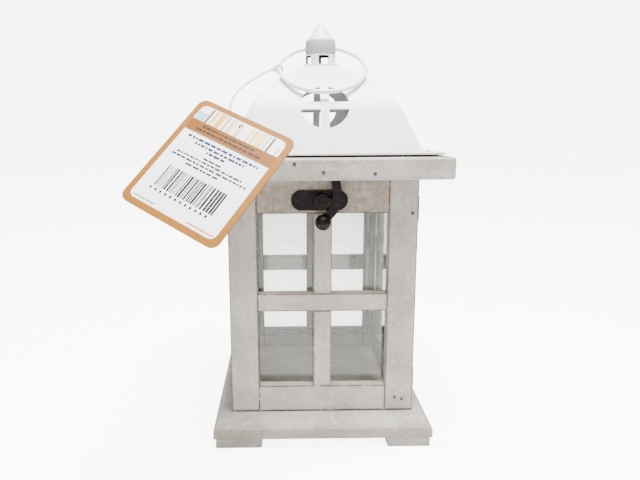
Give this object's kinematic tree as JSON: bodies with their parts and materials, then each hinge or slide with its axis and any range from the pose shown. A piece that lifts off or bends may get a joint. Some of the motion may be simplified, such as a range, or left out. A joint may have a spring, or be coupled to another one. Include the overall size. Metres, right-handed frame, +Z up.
{
  "type": "candle lantern",
  "caption": "Square wooden candle lantern with a glazed hinged door, moulded plinth, vented bell roof in sheet metal, ring handle and a hang tag on a string.",
  "frame": {"origin": "middle of the footprint, on the floor under the feet", "axes": "+Z up, front door faces -Y, +X to the viewer's right"},
  "size_m": [0.155, 0.1882, 0.2316],
  "materials": {
    "painted_wood": "matte distressed off-white paint",
    "white_sheet_metal": "satin white paint",
    "pane_glass": "clear",
    "aged_bronze": "dark antique bronze",
    "hinge_steel": "dull plated",
    "nail_steel": "dull",
    "tag_card": "uncoated card with a printed label",
    "hemp_string": "twisted hemp"
  },
  "bodies": {
    "case": {"barrel_band": "white_sheet_metal", "case_nails": "nail_steel", "collar": "white_sheet_metal", "cornice": "painted_wood", "finial_cap": "white_sheet_metal", "foot_front_left": "painted_wood", "foot_front_right": "painted_wood", "foot_rear_left": "painted_wood", "foot_rear_right": "painted_wood", "hinge_case_lower": "hinge_steel", "hinge_case_upper": "hinge_steel", "hinge_pin_lower": "hinge_steel", "hinge_pin_upper": "hinge_steel", "keeper": "aged_bronze", "left_bottom_rail": "painted_wood", "left_cross_bar": "painted_wood", "left_pane": "pane_glass", "left_stile_left": "painted_wood", "left_stile_right": "painted_wood", "left_top_rail": "painted_wood", "left_upright_bar": "painted_wood", "plinth": "painted_wood", "rear_bottom_rail": "painted_wood", "rear_cross_bar": "painted_wood", "rear_pane": "pane_glass", "rear_stile_left": "painted_wood", "rear_stile_right": "painted_wood", "rear_top_rail": "painted_wood", "rear_upright_bar": "painted_wood", "right_bottom_rail": "painted_wood", "right_cross_bar": "painted_wood", "right_pane": "pane_glass", "right_stile_left": "painted_wood", "right_stile_right": "painted_wood", "right_top_rail": "painted_wood", "right_upright_bar": "painted_wood", "roof_crown": "white_sheet_metal", "roof_front": "white_sheet_metal", "roof_left": "white_sheet_metal", "roof_rear": "white_sheet_metal", "roof_right": "white_sheet_metal"},
    "door": {"door_bottom_rail": "painted_wood", "door_brads": "nail_steel", "door_cross_bar": "painted_wood", "door_pane": "pane_glass", "door_stile_left": "painted_wood", "door_stile_right": "painted_wood", "door_top_rail": "painted_wood", "door_upright_bar": "painted_wood", "hinge_door_lower": "hinge_steel", "hinge_door_upper": "hinge_steel", "latch_plate": "aged_bronze", "latch_rivet": "aged_bronze", "latch_screws": "aged_bronze"},
    "latch": {"latch_arm": "aged_bronze", "latch_ball": "aged_bronze"},
    "handle": {"ring_handle": "white_sheet_metal"},
    "tag_line": {"string": "hemp_string", "string_knots": "hemp_string", "tag": "tag_card"}
  },
  "joints": [
    {"name": "door_hinge", "type": "hinge", "parent": "case", "child": "door", "pos_m": [0.0513, -0.0412, 0.0815], "axis": [0, 0, 1], "range_deg": [0, 110]},
    {"name": "latch_pivot", "type": "hinge", "parent": "door", "child": "latch", "pos_m": [-0.0009, -0.05, 0.1348], "axis": [0, 1, 0], "range_deg": [0, 75]},
    {"name": "handle_hinge", "type": "hinge", "parent": "case", "child": "handle", "pos_m": [0.0016, 0, 0.2169], "axis": [-1, 0, 0], "range_deg": [0, 125]},
    {"name": "tag_swing", "type": "hinge", "parent": "handle", "child": "tag_line", "pos_m": [-0.0221, -0.0184, 0.2042], "axis": [-1, 0, 0], "range_deg": [-125, 0]}
  ],
  "couplings": [
    {"joint": "tag_swing", "follows": "handle_hinge", "ratio": -1}
  ]
}
